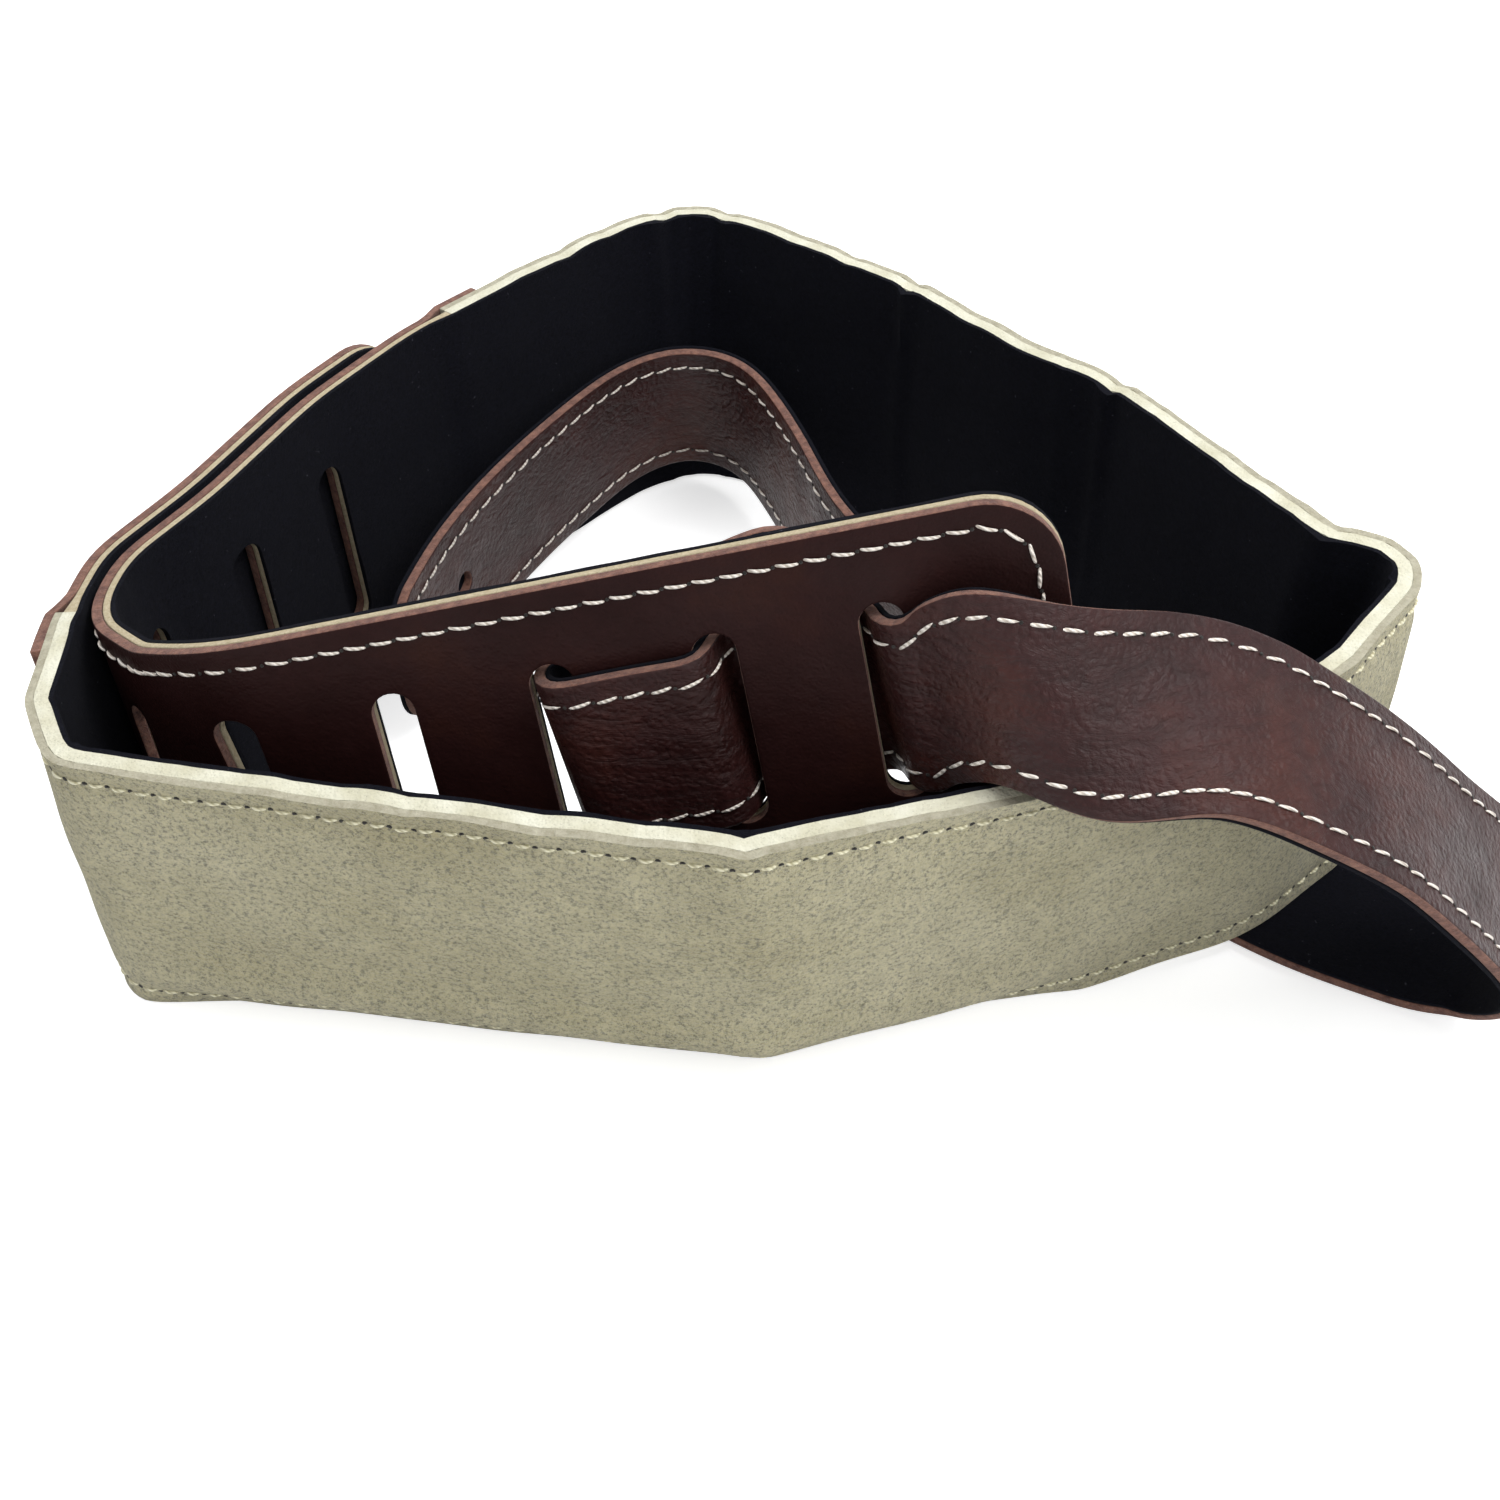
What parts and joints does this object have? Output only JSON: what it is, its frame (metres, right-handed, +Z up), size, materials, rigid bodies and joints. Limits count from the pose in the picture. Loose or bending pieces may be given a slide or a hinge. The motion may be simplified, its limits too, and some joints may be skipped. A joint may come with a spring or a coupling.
{
  "type": "guitar strap",
  "caption": "Wide padded suede strap coiled on edge, with a narrow leather adjuster strap woven through the slots of its leather end panel.",
  "frame": {"origin": "on the floor, under the middle of the whole coiled strap", "axes": "+Z up, +X along the slotted panel towards its free end, the front wall of the loop on the -Y side"},
  "size_m": [0.3106, 0.2224, 0.124],
  "materials": {
    "suede": "napped suede, beige-olive",
    "foam": "matte cream foam, cut edge",
    "felt": "matte black felt",
    "panel_leather": "smooth, semi-gloss dark brown",
    "cream_felt": "matte cream felt",
    "grained_leather": "pebbled, satin dark brown",
    "suede_thread": "thin cream thread",
    "white_thread": "waxed off-white thread"
  },
  "bodies": {
    "band": {"suede_face": "suede", "foam_padding": "foam", "felt_lining": "felt", "slotted_panel": "panel_leather", "panel_felt": "cream_felt", "end_tab": "panel_leather", "end_tab_felt": "cream_felt", "band_stitching": "suede_thread", "panel_stitching": "white_thread", "end_tab_stitching": "white_thread"},
    "adjuster": {"adjuster_leather": "grained_leather", "adjuster_end": "grained_leather", "adjuster_lining": "felt", "adjuster_stitching": "white_thread"}
  },
  "joints": [
    {"name": "adjuster_slide", "type": "slide", "parent": "band", "child": "adjuster", "axis": [1, 0, 0], "range_m": [-0.0004, 0.0004]}
  ]
}
